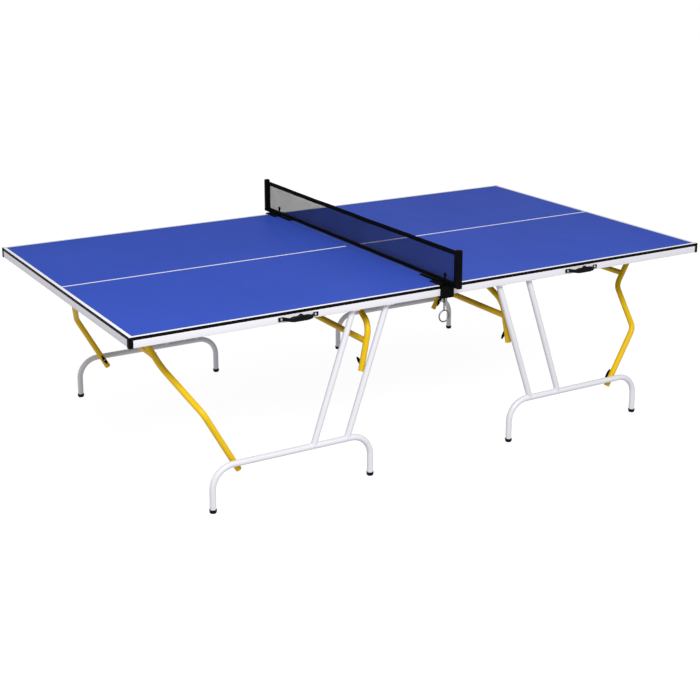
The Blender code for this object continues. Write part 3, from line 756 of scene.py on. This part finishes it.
def post(side):
    """A net post: a rectangular bar with rounded edges, a cap and a foot flange."""
    node = f"{side}_post"
    low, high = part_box(node)
    bm = block((low.x, low.y, low.z), (high.x, high.y, high.z - 0.004), 0.0015, 3)
    join(bm, block((low.x + 0.0006, low.y + 0.0006, high.z - 0.0060),
                   (high.x - 0.0006, high.y - 0.0006, high.z), 0.0022, 3))
    join(bm, block((low.x - 0.0012, low.y + 0.001, low.z),
                   (high.x + 0.0012, high.y - 0.001, low.z + 0.007), 0.0008))
    piece(f"{node}_bar", bm, (PLASTIC,), "left_half", [node])


def net():
    """The net: crossed cords between woven tapes, drawn tight but not quite flat."""
    low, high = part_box("net")
    reach, bottom, top = high.y, low.z, high.z
    top_tape, bottom_tape, sleeve = 0.0200, 0.0170, 0.0220
    cord_r, mesh = 0.00072, 0.0050
    bm = bmesh.new()

    def ribbon(y0, y1, z0, z1, thick, steps):
        """A flat tape, cut across so that it can take the net's waves."""
        strip = block((-thick / 2, y0, z0), (thick / 2, y1, z1), 0.0004, 1)
        for step in range(1, steps):
            y = y0 + (y1 - y0) * step / steps
            bmesh.ops.bisect_plane(strip, geom=strip.verts[:] + strip.edges[:] + strip.faces[:],
                                   plane_co=(0, y, 0), plane_no=(0, 1, 0))
        join(bm, strip)

    ribbon(-reach, reach, top - top_tape, top, 0.0028, 48)
    ribbon(-reach, reach, bottom, bottom + bottom_tape, 0.0024, 48)
    for start, stop in ((-reach, -reach + sleeve), (reach - sleeve, reach)):
        ribbon(start, stop, bottom, top, 0.0030, 2)
    tape_faces = len(bm.faces)
    count = int(2 * (reach - sleeve) / mesh)
    low_z, high_z = bottom + bottom_tape - 0.001, top - top_tape + 0.001
    for k in range(1, count):
        y = -reach + sleeve + 2 * (reach - sleeve) * k / count
        join(bm, sweep([(0, y, low_z), (0, y, (low_z + high_z) / 2), (0, y, high_z)], cord_r, 6))
    rows = int((high_z - low_z) / mesh)
    row_end, spans = reach - sleeve * 0.9, 48
    for k in range(1, rows):
        z = low_z + (high_z - low_z) * k / rows
        line = [(0, -row_end + 2 * row_end * step / spans, z) for step in range(spans + 1)]
        join(bm, sweep(line, cord_r, 6))
    bm.faces.ensure_lookup_table()
    for index, face in enumerate(bm.faces):
        face.material_index = 0 if index < tape_faces else 1
    for vert in bm.verts:
        across = vert.co.y / reach
        slack = max(0.0, 1 - across * across)
        up = (vert.co.z - bottom) / (top - bottom)
        vert.co.z -= 0.0022 * slack * up
        vert.co.x += slack * (0.0014 * sin(9 * across) * up + 0.0009 * sin(23 * across + 2 * up))
    obj = piece("net_mesh", bm, (TAPE, CORD), "left_half", ["net"], smooth=50)


# ---------------------------------------------------------------- stage
CAST_TINT = (0.955, 0.94, 1.0)   # colour of the light that floor and surroundings throw back
FLOOR_GLOW = (0.925, 0.39)       # strength that the camera sees, and that lights the table
WORLD_GLOW = (1.0, 0.42)
LAMPS = (                        # name, place, target, size, watts
    ("key", (-1.5, -4.5, 4.6), (0, 0, 0.5), 2.4, 286.0),
    ("back", (3.2, 3.6, 3.4), (0, 0, 0.5), 3.0, 14.0),
    ("end", (-3.4, 0.2, 1.5), (-1.37, 0, 0.73), 1.5, 12.0),
)
CAMERA_PLACE = (-3.028, -5.1047, 2.2465)
CAMERA_AZIMUTH, CAMERA_ELEVATION = radians(-30.585), radians(14.0525)
CAMERA_LENS, CAMERA_SHIFT_Y = 69.79, -0.15


def studio_white(tree, colour_socket, shown, cast):
    """A white that the camera sees at one strength and that lights the table at another."""
    path = tree.nodes.new("ShaderNodeLightPath")
    tint = add_ramp(tree, path.outputs["Is Camera Ray"], CAST_TINT, (1.0, 1.0, 1.0), 0.0, 1.0)
    tree.links.new(tint.outputs["Color"], colour_socket)
    strength = tree.nodes.new("ShaderNodeMapRange")
    strength.inputs["To Min"].default_value = cast
    strength.inputs["To Max"].default_value = shown
    tree.links.new(path.outputs["Is Camera Ray"], strength.inputs["Value"])
    return strength.outputs["Result"]


def stage():
    """A pale floor, soft studio light and the camera."""
    bpy.ops.mesh.primitive_plane_add(size=60, location=(0, 0, -0.0002))
    floor = bpy.context.object
    floor.name = "floor"
    made, tree, shader = shader_graph("pale_floor", 0.9)
    shader.inputs["Base Color"].default_value = (0.20, 0.20, 0.20, 1.0)
    shader.inputs["Specular IOR Level"].default_value = 0.0
    glow = studio_white(tree, shader.inputs["Emission Color"], *FLOOR_GLOW)
    tree.links.new(glow, shader.inputs["Emission Strength"])
    floor.data.materials.append(made)

    world = bpy.data.worlds.new("studio")
    bpy.context.scene.world = world
    world.use_nodes = True
    sky = world.node_tree.nodes["Background"]
    glow = studio_white(world.node_tree, sky.inputs["Color"], *WORLD_GLOW)
    world.node_tree.links.new(glow, sky.inputs["Strength"])

    for name, place, target, size, power in LAMPS:
        light = bpy.data.lights.new(name, 'AREA')
        light.size = size
        light.energy = power
        lamp = bpy.data.objects.new(name, light)
        lamp.location = place
        aim = Vector(target) - Vector(place)
        lamp.rotation_euler = aim.to_track_quat('-Z', 'Y').to_euler()
        bpy.context.scene.collection.objects.link(lamp)

    back = Vector((sin(CAMERA_AZIMUTH) * cos(CAMERA_ELEVATION),
                   -cos(CAMERA_AZIMUTH) * cos(CAMERA_ELEVATION), sin(CAMERA_ELEVATION)))
    camera = bpy.data.objects.new("camera", bpy.data.cameras.new("camera"))
    camera.data.lens = CAMERA_LENS
    camera.data.sensor_width = 36.0
    camera.data.shift_y = CAMERA_SHIFT_Y
    camera.location = CAMERA_PLACE
    camera.rotation_euler = (-back).to_track_quat('-Z', 'Y').to_euler()
    bpy.context.scene.collection.objects.link(camera)
    bpy.context.scene.camera = camera
    bpy.context.scene.view_settings.view_transform = 'Standard'


# ---------------------------------------------------------------- assembly
for half_name, x_sign in HALVES:
    board(half_name, x_sign)
    rail_frame(half_name, x_sign)
    for kind, layout in (("outer", OUTER), ("inner", INNER)):
        brace(half_name, x_sign, kind, layout)
        for side_name, y_sign in SIDES:
            knob(half_name, x_sign, side_name, y_sign, kind, layout)
            bearing(half_name, side_name, kind)
    for side_name, y_sign in SIDES:
        corner_cap(half_name, x_sign, side_name, y_sign)
        handle(half_name, side_name, y_sign)
        leg(half_name, x_sign, side_name, y_sign)
        leg_hinges(half_name, x_sign, side_name, y_sign)
for side_name, y_sign in SIDES:
    clamp(side_name, y_sign)
    clamp_screw(side_name)
    post(side_name)
net()
stage()
